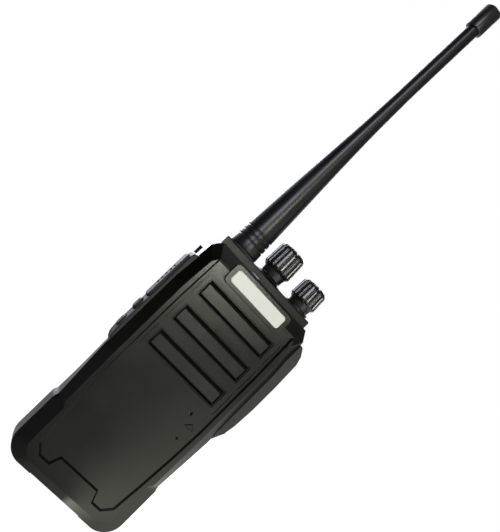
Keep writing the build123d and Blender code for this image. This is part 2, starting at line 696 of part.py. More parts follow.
# ---- accessory jack cover on the right side ------------------------------------------------
cover_edge = 0.6
with BuildPart() as jack_cover:
    with BuildSketch(facing(cover_y[0])):
        with BuildLine():
            Polyline((cover_x, hinge_z + hinge_gap), (hinge_x, hinge_z + hinge_gap), (34.7, 71.5),
                     (35.3, 82.0), (35.4, 95.0), (35.0, 108.6), (33.9, 112.6), (31.6, cover_z[1] - 0.4),
                     (cover_x, cover_z[1]), close=True)
        make_face()
    extrude(amount=cover_y[0] - cover_y[1])
    outer_edges = [edge for edge in jack_cover.edges()
                   if edge.center().X > cover_x + 0.3 and edge.bounding_box().size.Y < 0.01
                   and edge.center().Z > hinge_z + 0.5]
    chamfer(outer_edges, cover_edge)
    for z, bore, sleeve in jacks:
        along_x(jack_y, z, cover_x - 0.8, cover_x + 0.5, 1.7)
    # finger scoop at the top
    span((33.4, 37), (-9.4, -4.4), (110.6, 111.8), mode=Mode.SUBTRACT)
finish(jack_cover.part, "jack_cover")

with BuildPart() as cover_foot:
    with BuildSketch(facing(cover_y[0])):
        with BuildLine():
            Polyline((side_half, cover_z[0]), (31.0, cover_z[0]), (31.7, 62.2), (hinge_x, hinge_z - hinge_gap),
                     (side_half, hinge_z - hinge_gap), close=True)
        make_face()
    extrude(amount=cover_y[0] - cover_y[1])
    along_x(-6.9, 64.2, 31.6, 36, 1.3, mode=Mode.SUBTRACT)
finish(cover_foot.part, "cover_foot")

with BuildPart() as cover_screw:
    along_x(-6.9, 64.2, 31.6, 32.2, 1.25)
    span((32.0, 34), (-7.9, -5.9), (64.05, 64.35), mode=Mode.SUBTRACT)
finish(cover_screw.part, "cover_screw")

# ---- battery pack -------------------------------------------------------------------------
pack_shape = (pack_front, pack_back, pack_half, pack_back_half, 7.0)
pack_plan = plan(*pack_shape, 4.0)
pack_room = plan(*pack_shape, 4.0, grow=-pack_wall)
latch_half, latch_travel = 9.0, 2.0
latch_z = (1.2, 2.6)
pack_foot_r = 8.5


def pack_front_view(inset):
    """A block with the pack's rounded lower corners, inset from its outline."""
    half = pack_half - inset
    with BuildPart() as block:
        with BuildSketch(facing(pack_front - 1)):
            with BuildLine():
                Polyline((-half, pack_top), (-half, inset), (half, inset), (half, pack_top), close=True)
            make_face()
        extrude(amount=-(pack_back - pack_front + 2))
        fillet(block.edges().filter_by(Axis.Y).group_by(Axis.Z)[0], pack_foot_r - inset)
    return block.part


pad_xs = (-5.4, -1.8, 1.8, 5.4)

with BuildPart() as battery_pads:
    for x in pad_xs:
        span((x - 1.2, x + 1.2), (5.5, 5.6), (92.4, 95.6))
        span((x - 0.5, x + 0.5), (5.6, pack_split), (93.6, 94.4))
finish(battery_pads.part, "battery_pads")

with BuildPart() as battery_case:
    with BuildSketch(Plane.XY):
        add(pack_plan)
        with Locations((0, pack_split)):
            Rectangle(80, 40, align=(Align.CENTER, Align.MIN), mode=Mode.SUBTRACT)
    extrude(amount=pack_top)
    add(pack_front_view(0.0), mode=Mode.INTERSECT)
    # rail slots, open at the top
    for side in (-1, 1):
        for reach, y in ((0.6, (pack_front - 1, 6.3)), (1.5, (6.3 - rail_gap, 7.3))):
            x = sorted((side * (rail_x - reach - rail_gap), side * (rail_x + reach + rail_gap)))
            span(x, (y[0], y[1] + rail_gap), (4.6, pack_top + 1), mode=Mode.SUBTRACT)
    # channel for the contact pins, open at the top, and seats for the pads
    span((-7.4, 7.4), (pack_front - 1, 5.5), (91.6, pack_top + 1), mode=Mode.SUBTRACT)
    add(battery_pads.part, mode=Mode.SUBTRACT)
    # passage for the latch
    span((-latch_half - 0.3, latch_half + 0.3), (pack_front - 1, pack_split + 1), latch_z, mode=Mode.SUBTRACT)
    span((-7.7, 7.7), (pack_front - 1, pack_split + 1), (-1, 1.3), mode=Mode.SUBTRACT)
finish(battery_case.part, "battery_case")

with BuildPart() as battery_room:
    with BuildSketch(Plane.XY.offset(3.2)):
        add(pack_room)
        with Locations((0, pack_split)):
            Rectangle(80, 40, align=(Align.CENTER, Align.MAX), mode=Mode.SUBTRACT)
    extrude(amount=pack_top - 5.6)
    add(pack_front_view(pack_wall), mode=Mode.INTERSECT)

with BuildPart() as battery_cover:
    with BuildSketch(Plane.XY):
        add(pack_plan)
        with Locations((0, pack_split)):
            Rectangle(80, 40, align=(Align.CENTER, Align.MAX), mode=Mode.SUBTRACT)
    extrude(amount=pack_top)
    back_edges = [edge for edge in battery_cover.edges()
                  if edge.center().Y > pack_back - 0.01 and edge.bounding_box().size.Z < 0.01]
    chamfer(back_edges, 2.4)
    add(pack_front_view(0.0), mode=Mode.INTERSECT)
    add(battery_room.part, mode=Mode.SUBTRACT)
    # latch pocket in the underside
    span((-latch_half - 0.3, latch_half + 0.3), (pack_split - 1, 15.2), latch_z, mode=Mode.SUBTRACT)
    span((-7.7, 7.7), (pack_split - 1, 13.4), (-1, 1.3), mode=Mode.SUBTRACT)
    # shallow field for a label, and grip ribs
    with BuildSketch(facing(pack_back)):
        with Locations((0, 62)):
            RectangleRounded(34, 44, 2.0)
    extrude(amount=0.3, mode=Mode.SUBTRACT)
    with BuildSketch(facing(pack_back)):
        with Locations(*[(0, 12.5 + 3.2 * k) for k in range(5)]):
            SlotOverall(30.0, 1.4)
    extrude(amount=0.5, mode=Mode.SUBTRACT)
finish(battery_cover.part, "battery_cover")

with BuildPart() as battery_cells:
    for z in ((7.0, 49.0), (50.5, 92.5)):
        span((-19.5, 19.5), (9.0, 15.6), z)
    fillet(battery_cells.edges().filter_by(Axis.Z), 2.5)
finish(battery_cells.part, "battery_cells")

with BuildPart() as battery_board:
    span((-18.0, 18.0), (9.4, 10.4), (93.6, 97.6))
finish(battery_board.part, "battery_board")

with BuildPart() as battery_latch:
    span((-latch_half, latch_half), (5.25, 10.5), (1.5, 2.3))
    span((-7.4, 7.4), (5.25, 10.5), (0.35, 1.5))
    for y in (7.0, 8.2, 9.4):
        span((-8, 8), (y, y + 0.5), (0, 0.7), mode=Mode.SUBTRACT)
finish(battery_latch.part, "battery_latch")

with BuildPart() as latch_spring:
    for x in (-4.0, 4.0):
        with Locations(Location((x, 12.85, 1.9), (90, 0, 0))):
            Cylinder(0.6, 4.6)
            Cylinder(0.3, 4.7, mode=Mode.SUBTRACT)
finish(latch_spring.part, "latch_spring")

# ---- belt clip ----------------------------------------------------------------------------
with BuildPart() as clip_bracket:
    span((-11.6, 11.6), (head_back, head_back + 1.6), (104.5, 123.5))
    fillet(clip_bracket.edges().filter_by(Axis.Y), 2.0)
    for side in (-1, 1):
        x = sorted((side * (clip_half + 0.35), side * 11.6))
        span(x, (head_back + 1.6, clip_y), (clip_z - 3.0, clip_z + 3.0))
        along_x(clip_y, clip_z, x[0], x[1], 3.0)
    along_x(clip_y, clip_z, -13, 13, clip_pin_r, mode=Mode.SUBTRACT)
    for x in (-6.5, 6.5):
        along_y(x, 119.0, head_back - 1, head_back + 3, 1.3, mode=Mode.SUBTRACT)
finish(clip_bracket.part, "clip_bracket")

with BuildPart() as clip_screws:
    for x in (-6.5, 6.5):
        along_y(x, 119.0, head_back + 1.6, head_back + 2.7, 2.1)
        along_y(x, 119.0, head_back - 2.6, head_back + 1.6, 1.15)
        span((x - 1.3, x + 1.3), (head_back + 2.3, 20), (118.8, 119.2), mode=Mode.SUBTRACT)
        span((x - 0.2, x + 0.2), (head_back + 2.3, 20), (117.7, 120.3), mode=Mode.SUBTRACT)
finish(clip_screws.part, "clip_screws")

with BuildPart() as clip_pin:
    along_x(clip_y, clip_z, -11.6, 11.6, clip_pin_r)
finish(clip_pin.part, "clip_pin")

with BuildPart() as belt_clip:
    with BuildSketch(sideways(-clip_half)):
        with BuildLine():
            Polyline((24.2, 122.5), (26.0, 122.5), (26.0, 112.0), (26.2, 50.0), (24.4, 44.2), (21.4, 40.6),
                     (19.6, 40.6), (18.8, 42.4), (22.6, 46.0), (24.0, 51.0), (24.0, 108.0), (22.6, 110.0),
                     (22.6, 116.0), (24.2, 118.0), close=True)
        make_face()
    extrude(amount=2 * clip_half)
    for side in (-1, 1):
        x = sorted((side * 5.4, side * clip_half))
        along_x(clip_y, clip_z, x[0], x[1], 2.7)
        span(x, (clip_y, 24.5), (clip_z - 2.7, clip_z + 2.7))
    side_edges = [edge for edge in belt_clip.edges().filter_by(Axis.Z) if edge.length > 40]
    fillet(side_edges, 0.8)
    # window over the spring
    span((-5.4, 5.4), (20, 24.6), (clip_z - 4.2, clip_z + 4.2), mode=Mode.SUBTRACT)
    along_x(clip_y, clip_z, -13, 13, clip_pin_r + 0.05, mode=Mode.SUBTRACT)
finish(belt_clip.part, "belt_clip")

with BuildPart() as clip_spring:
    with BuildLine() as coil:
        Helix(pitch=1.0, height=8.0, radius=1.95, center=(-4.0, clip_y, clip_z), direction=(1, 0, 0))
    with BuildSketch(Plane(origin=coil.line @ 0, z_dir=coil.line % 0)):
        Circle(0.38)
    sweep()
finish(clip_spring.part, "clip_spring")
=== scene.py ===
import json
import math

import bmesh
import bpy
from mathutils import Matrix, Vector


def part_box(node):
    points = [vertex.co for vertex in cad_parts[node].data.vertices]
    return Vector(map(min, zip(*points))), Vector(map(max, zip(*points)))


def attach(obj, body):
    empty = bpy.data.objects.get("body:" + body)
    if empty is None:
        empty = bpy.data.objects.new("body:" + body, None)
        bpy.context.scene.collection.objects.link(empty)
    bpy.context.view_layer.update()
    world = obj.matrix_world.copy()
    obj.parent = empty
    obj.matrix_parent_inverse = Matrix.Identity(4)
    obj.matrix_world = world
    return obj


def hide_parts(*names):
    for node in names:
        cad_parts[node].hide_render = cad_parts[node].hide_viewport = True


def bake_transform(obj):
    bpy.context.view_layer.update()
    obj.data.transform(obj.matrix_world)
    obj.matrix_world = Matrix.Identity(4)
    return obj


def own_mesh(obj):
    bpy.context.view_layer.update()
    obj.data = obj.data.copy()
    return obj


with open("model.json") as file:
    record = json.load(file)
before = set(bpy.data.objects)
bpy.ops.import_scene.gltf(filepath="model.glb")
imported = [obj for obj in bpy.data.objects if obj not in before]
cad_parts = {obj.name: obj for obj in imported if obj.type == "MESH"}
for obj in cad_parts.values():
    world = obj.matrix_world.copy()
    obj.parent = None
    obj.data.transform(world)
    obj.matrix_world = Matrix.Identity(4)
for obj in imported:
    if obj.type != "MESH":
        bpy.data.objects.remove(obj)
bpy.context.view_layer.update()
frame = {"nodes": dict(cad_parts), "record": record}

NODES = frame["nodes"]
MM = 0.001


# ---- shader nodes -------------------------------------------------------------------------
# owner is the material, or the world, whose nodes are being made.
def new_material(name):
    """A node material and its main shader."""
    material = bpy.data.materials.new(name)
    material.use_nodes = True
    return material, material.node_tree.nodes["Principled BSDF"]


def add_node(owner, kind, inputs=None, **settings):
    """A shader node with its settings and its unlinked inputs."""
    node = owner.node_tree.nodes.new(kind)
    for key, value in settings.items():
        setattr(node, key, value)
    for key, value in (inputs or {}).items():
        node.inputs[key].default_value = value
    return node


def link(owner, source, target):
    owner.node_tree.links.new(source, target)


def object_coords(owner):
    return add_node(owner, "ShaderNodeTexCoord").outputs["Object"]


def split_axes(owner, coords):
    """The X and the Y of linked coordinates."""
    node = add_node(owner, "ShaderNodeSeparateXYZ")
    link(owner, coords, node.inputs["Vector"])
    return node.outputs["X"], node.outputs["Y"]


def noise(owner, coords, scale, detail=3.0, roughness=0.55, distortion=0.0):
    """Noise of about 1 / scale metres, from 0 to 1."""
    node = add_node(owner, "ShaderNodeTexNoise", {
        "Scale": scale, "Detail": detail, "Roughness": roughness, "Distortion": distortion})
    link(owner, coords, node.inputs["Vector"])
    return node.outputs["Fac"]


def ramp(owner, value, low, high, out_low, out_high):
    """Maps value from low..high to out_low..out_high."""
    node = add_node(owner, "ShaderNodeMapRange", {
        "From Min": low, "From Max": high, "To Min": out_low, "To Max": out_high})
    link(owner, value, node.inputs["Value"])
    return node.outputs["Result"]


def combined(owner, operation, first, second):
    """Two linked values put through one operation."""
    node = add_node(owner, "ShaderNodeMath", operation=operation)
    link(owner, first, node.inputs[0])
    link(owner, second, node.inputs[1])
    return node.outputs["Value"]


def mix_colors(owner, factor, color_a, color_b):
    """Blends two plain colours by a linked factor."""
    node = add_node(owner, "ShaderNodeMix", data_type="RGBA")
    link(owner, factor, node.inputs["Factor"])
    for name, color in (("A", color_a), ("B", color_b)):
        socket = next(s for s in node.inputs if s.name == name and s.type == "RGBA")
        socket.default_value = (*color, 1.0)
    return next(s for s in node.outputs if s.type == "RGBA")


def scaled(color, factor):
    """A colour made darker or lighter, at most white."""
    return tuple(min(1.0, c * factor) for c in color)


def add_bump(owner, shader, height, distance, under=None):
    """Adds height as bump, over an earlier bump if there is one."""
    node = add_node(owner, "ShaderNodeBump", {"Distance": distance, "Strength": 1.0})
    link(owner, height, node.inputs["Height"])
    if under is not None:
        link(owner, under, node.inputs["Normal"])
    link(owner, node.outputs["Normal"], shader.inputs["Normal"])
    return node.outputs["Normal"]


# ---- materials ----------------------------------------------------------------------------
# grain and other noise scales are in cycles per metre, depth in mm.
def moulded(name, color, roughness=0.5, grain=1500.0, depth=0.03, specular=0.5):
    """Moulded plastic or rubber: spark-eroded grain over faint mottling."""
    material, shader = new_material(name)
    coords = object_coords(material)
    fine = noise(material, coords, grain, detail=4.0, roughness=0.7)
    broad = noise(material, coords, 45.0, detail=5.0, roughness=0.6)
    mottling = ramp(material, broad, 0.3, 0.7, 0.0, 1.0)
    mottled = mix_colors(material, mottling, scaled(color, 0.82), scaled(color, 1.2))
    link(material, mottled, shader.inputs["Base Color"])
    rough = ramp(material, broad, 0.25, 0.75, roughness - 0.05, roughness + 0.05)
    link(material, rough, shader.inputs["Roughness"])
    shader.inputs["Specular IOR Level"].default_value = specular
    scratches = noise(material, coords, grain * 0.27, detail=2.0)
    normal = add_bump(material, shader, fine, depth * MM)
    add_bump(material, shader, scratches, depth * 0.7 * MM, under=normal)
    return material


def metal(name, color, roughness=0.3, brushed=True):
    """Plated or brushed metal with fine drag lines and small changes of roughness."""
    material, shader = new_material(name)
    stretch = (1.0, 1.0, 14.0 if brushed else 1.0)
    mapping = add_node(material, "ShaderNodeMapping", {"Scale": stretch})
    link(material, object_coords(material), mapping.inputs["Vector"])
    lines = noise(material, mapping.outputs["Vector"], 900.0)
    tone = mix_colors(material, lines, scaled(color, 0.86), scaled(color, 1.08))
    link(material, tone, shader.inputs["Base Color"])
    rough = ramp(material, lines, 0.3, 0.7, roughness * 0.75, roughness * 1.3)
    link(material, rough, shader.inputs["Roughness"])
    shader.inputs["Metallic"].default_value = 1.0
    add_bump(material, shader, lines, 0.01 * MM)
    return material


def woven(name, color):
    """Fine speaker cloth: crossed threads."""
    material, shader = new_material(name)
    coords = object_coords(material)
    threads = []
    for direction in ("X", "Z"):
        wave = add_node(material, "ShaderNodeTexWave",
                        {"Scale": 900.0, "Distortion": 0.4, "Detail": 1.0},
                        bands_direction=direction)
        link(material, coords, wave.inputs["Vector"])
        threads.append(wave.outputs["Fac"])
    weave = combined(material, "MULTIPLY", *threads)
    tone = mix_colors(material, weave, scaled(color, 0.3), color)
    link(material, tone, shader.inputs["Base Color"])
    shader.inputs["Roughness"].default_value = 0.9
    add_bump(material, shader, weave, 0.08 * MM)
    return material


def clear(name, color):
    """A clear or smoky lens."""
    material, shader = new_material(name)
    cloud = noise(material, object_coords(material), 300.0)
    tone = mix_colors(material, cloud, scaled(color, 0.9), color)
    link(material, tone, shader.inputs["Base Color"])
    shader.inputs["Roughness"].default_value = 0.12
    shader.inputs["Transmission Weight"].default_value = 0.6
    shader.inputs["IOR"].default_value = 1.5
    return material


def wrapped(name, color):
    """Foil or label on a battery cell: satin with soft creases."""
    material, shader = new_material(name)
    creases = noise(material, object_coords(material), 120.0, detail=5.0, distortion=0.6)
    tone = mix_colors(material, creases, scaled(color, 0.8), color)
    link(material, tone, shader.inputs["Base Color"])
    shader.inputs["Roughness"].default_value = 0.35
    shader.inputs["Metallic"].default_value = 0.6
    add_bump(material, shader, creases, 0.06 * MM)
    return material


def painted(name, color):
    """Satin paint over a smooth plate, with a faint unevenness."""
    material, shader = new_material(name)
    cloud = noise(material, object_coords(material), 160.0, detail=4.0)
    tone = mix_colors(material, cloud, scaled(color, 0.94), color)
    link(material, tone, shader.inputs["Base Color"])
    rough = ramp(material, cloud, 0.3, 0.7, 0.26, 0.36)
    link(material, rough, shader.inputs["Roughness"])
    add_bump(material, shader, cloud, 0.004 * MM)
    return material


MATERIALS = {
    "housing": moulded("housing", (0.0034, 0.0039, 0.0024), 0.23, 2600.0, 0.01),
    "grille": moulded("grille", (0.006, 0.0063, 0.005), 0.24, 2600.0, 0.009),
    "badge": painted("badge", (0.86, 0.87, 0.8)),
    "lens": clear("lens", (0.75, 0.78, 0.74)),
    "cloth": woven("cloth", (0.008, 0.008, 0.0095)),
    "steel": metal("steel", (0.6, 0.6, 0.6), 0.3),
    "cone": moulded("cone", (0.03, 0.03, 0.03), 0.8, 1200.0, 0.1),
    "magnet": metal("magnet", (0.45, 0.45, 0.47), 0.35),
    "seal_rubber": moulded("seal_rubber", (0.02, 0.02, 0.02), 0.7, 1200.0),
    "chassis": moulded("chassis", (0.005, 0.005, 0.005), 0.34, 2200.0, 0.01, specular=0.25),
    "screw": metal("screw", (0.08, 0.08, 0.08), 0.35),
    "board": moulded("board", (0.02, 0.12, 0.05), 0.3, 700.0, 0.01),
    "tin": metal("tin", (0.72, 0.72, 0.7), 0.3),
    "chip": moulded("chip", (0.02, 0.02, 0.02), 0.5),
    "dark_plastic": moulded("dark_plastic", (0.025, 0.025, 0.025), 0.45),
    "gold": metal("gold", (0.86, 0.64, 0.28), 0.22, brushed=False),
    "knob": moulded("knob", (0.009, 0.009, 0.0095), 0.2, 1800.0, 0.001, specular=0.7),
    "nickel": metal("nickel", (0.75, 0.73, 0.69), 0.25),
    "white_plastic": moulded("white_plastic", (0.8, 0.8, 0.76), 0.4),
    "spring_steel": metal("spring_steel", (0.62, 0.62, 0.6), 0.28),
    "antenna": moulded("antenna", (0.01, 0.01, 0.0105), 0.33, 1300.0, 0.008),
    "antenna_cap": moulded("antenna_cap", (0.018, 0.018, 0.018), 0.34, 1500.0, 0.01),
    "key_rubber": moulded("key_rubber", (0.018, 0.018, 0.017), 0.55, 1700.0, 0.04),
    "cover_rubber": moulded("cover_rubber", (0.02, 0.02, 0.017), 0.5, 1700.0, 0.05),
    "pack": moulded("pack", (0.018, 0.0185, 0.017), 0.45, 2200.0, 0.04),
    "cell": wrapped("cell", (0.5, 0.52, 0.55)),
    "latch": moulded("latch", (0.05, 0.05, 0.05), 0.45),
    "clip": moulded("clip", (0.018, 0.018, 0.0175), 0.4, 1900.0, 0.03),
}

# width in mm of the rounded edges of the moulded and pressed nodes
SOFT_EDGES = {
    "front_case": 0.25, "rear_chassis": 0.3, "badge_plate": 0.2,
    "jack_cover": 0.3, "cover_foot": 0.3, "side_key_bezel": 0.25, "battery_case": 0.5,
    "battery_cover": 0.6, "battery_latch": 0.25, "belt_clip": 0.4, "clip_bracket": 0.3,
    "control_nuts": 0.1, "battery_cells": 0.3, "shield_cans": 0.15, "speaker_magnet": 0.3,
}


def dress_nodes():
    """Gives every CAD node its slot's material and softens the moulded edges."""
    for entry in frame["record"]["subparts"]:
        node = NODES[entry["node"]]
        node.data.materials.clear()
        node.data.materials.append(MATERIALS[entry["material_slot"]])
        if entry["node"] in SOFT_EDGES:
            bevel = node.modifiers.new("soft_edges", "BEVEL")
            bevel.width = SOFT_EDGES[entry["node"]] * MM
            bevel.segments = 3
            bevel.limit_method = "ANGLE"
            bevel.angle_limit = math.radians(28)
            bevel.use_clamp_overlap = True
            bevel.harden_normals = True


# ---- turned pieces: knobs and antenna -----------------------------------------------------
# Sizes here are in mm. A profile is a list of (radius, height) points.
FLUTE = {"count": 14, "columns": 24, "depth": 0.62, "width": 0.44}
DOME = {"inset": 0.35, "radius": 2.3, "rise": 2.2}
NOTCH = {"depth": 0.5, "from": 2.2, "half_width": 0.62}
SHAFT_HOLE = {"radius": 3.02, "from_top": 3.0}
NUT_ROOM_RADIUS = 4.7

RUBBER_FOOT_RADIUS = 7.43
GROOVES = {"heights": (131.7, 134.4, 137.1), "depth": 0.42, "half_width": 0.55, "end": 138.0}
TAPER = [(6.95, 138.5), (6.2, 155.0), (5.0, 178.0), (3.7, 205.0), (3.2, 228.0)]
CAP_RADIUS = 4.35
PLUG = {"radius": 2.7, "top": 285.0}          # the whip's end, inside the cap
CORE_HOLE = {"radius": 0.9, "top": 280.0}
FERRULE_HOLE = {"radius": 5.0, "top": 138.0}
LEAN = {"shift": 1.5, "from": 170.0, "over": 115.0, "power": 1.6}
ARC_STEPS = 8


def mesh_object(name, form, material):
    """The finished bmesh as an object in the scene."""
    mesh = bpy.data.meshes.new(name)
    form.to_mesh(mesh)
    form.free()
    mesh.materials.append(material)
    piece = bpy.data.objects.new(name, mesh)
    bpy.context.scene.collection.objects.link(piece)
    return piece


def turned(name, profile, columns, x, body, slot_name, stands_for, shape):
    """A closed mesh turned about a vertical axis at x, from a profile that starts and ends on
    the axis; shape moves each point."""
    form = bmesh.new()
    rings = []
    for radius, height in profile:
        if radius == 0:
            rings.append([form.verts.new((0, 0, height))])
            continue
        angles = [2 * math.pi * k / columns for k in range(columns)]
        rings.append([form.verts.new((radius * math.cos(a), radius * math.sin(a), height))
                      for a in angles])
    for lower, upper in zip(rings, rings[1:]):
        for k in range(columns):
            nxt = (k + 1) % columns
            if len(lower) == 1:
                form.faces.new((lower[0], upper[nxt], upper[k]))
            elif len(upper) == 1:
                form.faces.new((lower[k], lower[nxt], upper[0]))
            else:
                form.faces.new((lower[k], lower[nxt], upper[nxt], upper[k]))
    for vert in form.verts:
        vert.co = (shape(vert.co) + Vector((x, 0, 0))) * MM
    bmesh.ops.recalc_face_normals(form, faces=form.faces)
    for face in form.faces:
        face.smooth = True
    piece = mesh_object(name, form, MATERIALS[slot_name])
    piece.data.set_sharp_from_angle(angle=math.radians(55))
    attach(piece, body)
    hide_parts(stands_for)


def path_through(points, step):
    """The points joined by straight runs cut into pieces no longer than step."""
    path = [points[0]]
    for (r0, z0), (r1, z1) in zip(points, points[1:]):
        count = max(1, math.ceil(math.hypot(r1 - r0, z1 - z0) / step))
        path += [(r0 + (r1 - r0) * k / count, z0 + (z1 - z0) * k / count)
                 for k in range(1, count + 1)]
    return path


def relaxed(path, low):
    """The path with its radii eased above a height; its last point stays."""
    for _ in range(6):
        path = [point if k == len(path) - 1 or point[1] <= low else
                ((path[k - 1][0] + 2 * point[0] + path[k + 1][0]) / 4, point[1])
                for k, point in enumerate(path)]
    return path


def smooth_step(value, low, high):
    t = min(1.0, max(0.0, (value - low) / (high - low)))
    return t * t * (3 - 2 * t)


def fluted_knob(name, node, body, x, radius, neck, foot):
    """A control knob of that outer and neck radius, with rounded ribs above its foot, a domed
    edge and a pointer notch."""
    low, top = (corner.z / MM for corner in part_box(node))
    dome = []
    for k in range(ARC_STEPS + 1):
        angle = math.pi / 2 * k / ARC_STEPS
        dome.append((radius - DOME["inset"] - DOME["radius"] * (1 - math.cos(angle)),
                     top - DOME["rise"] * (1 - math.sin(angle))))
    outside = [(neck - 0.3, low), (neck, foot - 0.9), (radius - 0.5, foot + 0.1),
               (radius - 0.1, foot + 0.45), (radius, foot + 0.9)] + dome + [(0, top)]
    hole, hole_top = SHAFT_HOLE["radius"], top - SHAFT_HOLE["from_top"]
    inside = [(0, hole_top), (hole, hole_top), (hole, foot - 1.0),
              (NUT_ROOM_RADIUS, foot - 1.0), (NUT_ROOM_RADIUS, low)]

    def ribs(point):
        distance = math.hypot(point.x, point.y)
        if distance < neck - 0.5 and point.z < top - 3.5 or distance < 1e-6:
            return point    # on the axis, or inside the shaft hole and the room for the nut
        pitch = 2 * math.pi / FLUTE["count"]
        turns = math.atan2(point.y, point.x) / pitch
        offset = (turns - round(turns)) * pitch * radius
        reach = (smooth_step(point.z, foot - 0.2, foot + 1.1)
                 * smooth_step(distance, radius - 2.9, radius - 0.9))
        cut = FLUTE["depth"] * math.exp(-((offset / FLUTE["width"]) ** 2)) * reach
        point.x *= 1 - cut / distance
        point.y *= 1 - cut / distance
        if point.z > top - 2.4 and point.y < -NOTCH["from"]:
            notch = 1 - smooth_step(abs(point.x), 0.3, NOTCH["half_width"])
            run_in = smooth_step(-point.y, NOTCH["from"], NOTCH["from"] + 0.4)
            point.z -= NOTCH["depth"] * notch * run_in
        return point

    turned(name, inside + path_through(outside, 0.45), FLUTE["count"] * FLUTE["columns"], x, body,
           "knob", node, ribs)


def lean(point):
    """The whip's slight set towards the right near its tip."""
    above = max(0.0, (point.z - LEAN["from"]) / LEAN["over"])
    point.x += LEAN["shift"] * above ** LEAN["power"]
    return point


def antenna():
    """The rubber sheath with its ringed foot and long taper, and the capped tip."""
    x = (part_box("antenna_core")[0].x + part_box("antenna_core")[1].x) / 2 / MM
    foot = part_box("antenna_sheath")[0].z / MM
    cap_low, cap_high = (corner.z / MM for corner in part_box("antenna_cap"))

    outside = [(7.1, foot), (7.32, foot + 0.12), (RUBBER_FOOT_RADIUS, foot + 0.45)]
    for groove in GROOVES["heights"]:
        wall = RUBBER_FOOT_RADIUS - 0.04 * (groove - foot)
        outside.append((wall, groove - 0.75))
        for k in range(ARC_STEPS + 1):
            angle = math.pi * k / ARC_STEPS
            outside.append((wall - 0.03 - GROOVES["depth"] * math.sin(angle),
                            groove - GROOVES["half_width"] * math.cos(angle)))
        outside.append((wall - 0.05, groove + 0.75))
    for (r0, z0), (r1, z1) in zip(TAPER, TAPER[1:]):
        outside += [(r0 + (r1 - r0) * k / 8, z0 + (z1 - z0) * k / 8) for k in range(8)]
    outside = relaxed(outside, GROOVES["end"])
    slim, slim_from = TAPER[-1]
    whole_steps = int((cap_low - slim_from - 1) / 4)
    outside += [(slim, slim_from + 4.0 * k) for k in range(whole_steps + 1)]
    plug_top = PLUG["top"]
    outside += [(slim, cap_low), (PLUG["radius"], cap_low), (PLUG["radius"], plug_top),
                (0, plug_top)]
    core, core_top = CORE_HOLE["radius"], CORE_HOLE["top"]
    inside = [(0, core_top)] + [(core, core_top - 10 * k) for k in range(15)]
    inside += [(core, FERRULE_HOLE["top"]), (FERRULE_HOLE["radius"], FERRULE_HOLE["top"]),
               (FERRULE_HOLE["radius"], foot)]
    turned("whip_sheath", inside + outside, 96, x, "housing", "antenna", "antenna_sheath", lean)

    cap = [(0, plug_top), (PLUG["radius"], plug_top), (PLUG["radius"], cap_low),
           (CAP_RADIUS - 0.3, cap_low), (CAP_RADIUS - 0.08, cap_low + 0.1),
           (CAP_RADIUS, cap_low + 0.35), (CAP_RADIUS, cap_high - 1.1),
           (CAP_RADIUS - 0.12, cap_high - 0.75), (CAP_RADIUS - 0.75, cap_high - 0.12),
           (CAP_RADIUS - 1.1, cap_high), (0, cap_high)]
    turned("whip_cap", cap, 96, x, "housing", "antenna_cap", "antenna_cap", lean)


# ---- hinge of the jack cover --------------------------------------------------------------
# Sizes are in mm. The web is thinnest, by waist on each face, along the hinge line.
WEB = {"hinge_z": 66.8, "outer_x": 33.86, "thickness": 0.4, "half_height": 0.8, "waist": 0.1,
       "half_bend": 0.35, "end_gap": 1.6, "rows": 17}


def hinge_web():
    """The thin web that joins the jack cover to its foot."""
    low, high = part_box("jack_cover")
    near_y, far_y = low.y / MM + WEB["end_gap"], high.y / MM - WEB["end_gap"]
    hinge_z, outer_x = WEB["hinge_z"], WEB["outer_x"]
    form = bmesh.new()
    rows = []
    for k in range(WEB["rows"]):
        share = 2 * k / (WEB["rows"] - 1) - 1     # -1 at the lower edge, 1 at the upper
        thin = WEB["waist"] * (1 - abs(share))
        outer, inner = outer_x - thin, outer_x - WEB["thickness"] + thin
        z = hinge_z + share * WEB["half_height"]
        rows.append([form.verts.new((x * MM, y * MM, z * MM)) for x, y in (
            (outer, near_y), (outer, far_y), (inner, far_y), (inner, near_y))])
    for lower, upper in zip(rows, rows[1:]):
        for k in range(4):
            nxt = (k + 1) % 4
            form.faces.new((lower[k], lower[nxt], upper[nxt], upper[k]))
    form.faces.new(rows[0][::-1])
    form.faces.new(rows[-1])
    bmesh.ops.recalc_face_normals(form, faces=form.faces)
    web = mesh_object("hinge_web", form, MATERIALS["cover_rubber"])
    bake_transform(web)


# ---- stage, lights and camera -------------------------------------------------------------
WHITE = (1.0, 1.0, 1.0)
WARM = (1.0, 0.99, 0.86)
AMBER = (1.0, 0.92, 0.8)
COOL = (0.86, 0.88, 1.0)
FLOOR = {"dim": 0.008, "bright": 1.5, "past": 0.12, "near": 0.45}
ROOM = {"left": 0.003, "right": 0.08, "back": 1.3}
MIDDLE = (0.0, 0.0, 0.08)
# name, place, aim, size and power of each light, in metres and watts, and its colour
LIGHTS = (
    ("right", (0.85, -0.65, 0.25), MIDDLE, (0.6, 0.5), 0.7, AMBER),
    ("tall_front", (-0.6, -1.1, 0.58), (-0.02, 0.0, 0.15), (0.36, 0.62), 6.5, COOL),
    ("low_front", (0.15, -1.2, 0.34), MIDDLE, (0.24, 0.22), 4.0, WARM),
    ("back_left", (-0.4, 1.15, 0.5), MIDDLE, (0.6, 0.8), 9.0, COOL),
    ("back_right", (0.45, 1.1, 0.55), MIDDLE, (0.6, 0.8), 6.0, WHITE),
    ("above", (0.1, 0.12, 0.85), (0.0, 0.0, 0.1), (0.25, 0.25), 1.6, WHITE),
)
CAMERA = {"place": (-0.0944, -0.3428, 0.0857), "lens": 54.9,
          "azimuth": 14.09, "elevation": 6.3, "roll": 45.7}


def camera_ray(owner):
    return add_node(owner, "ShaderNodeLightPath").outputs["Is Camera Ray"]


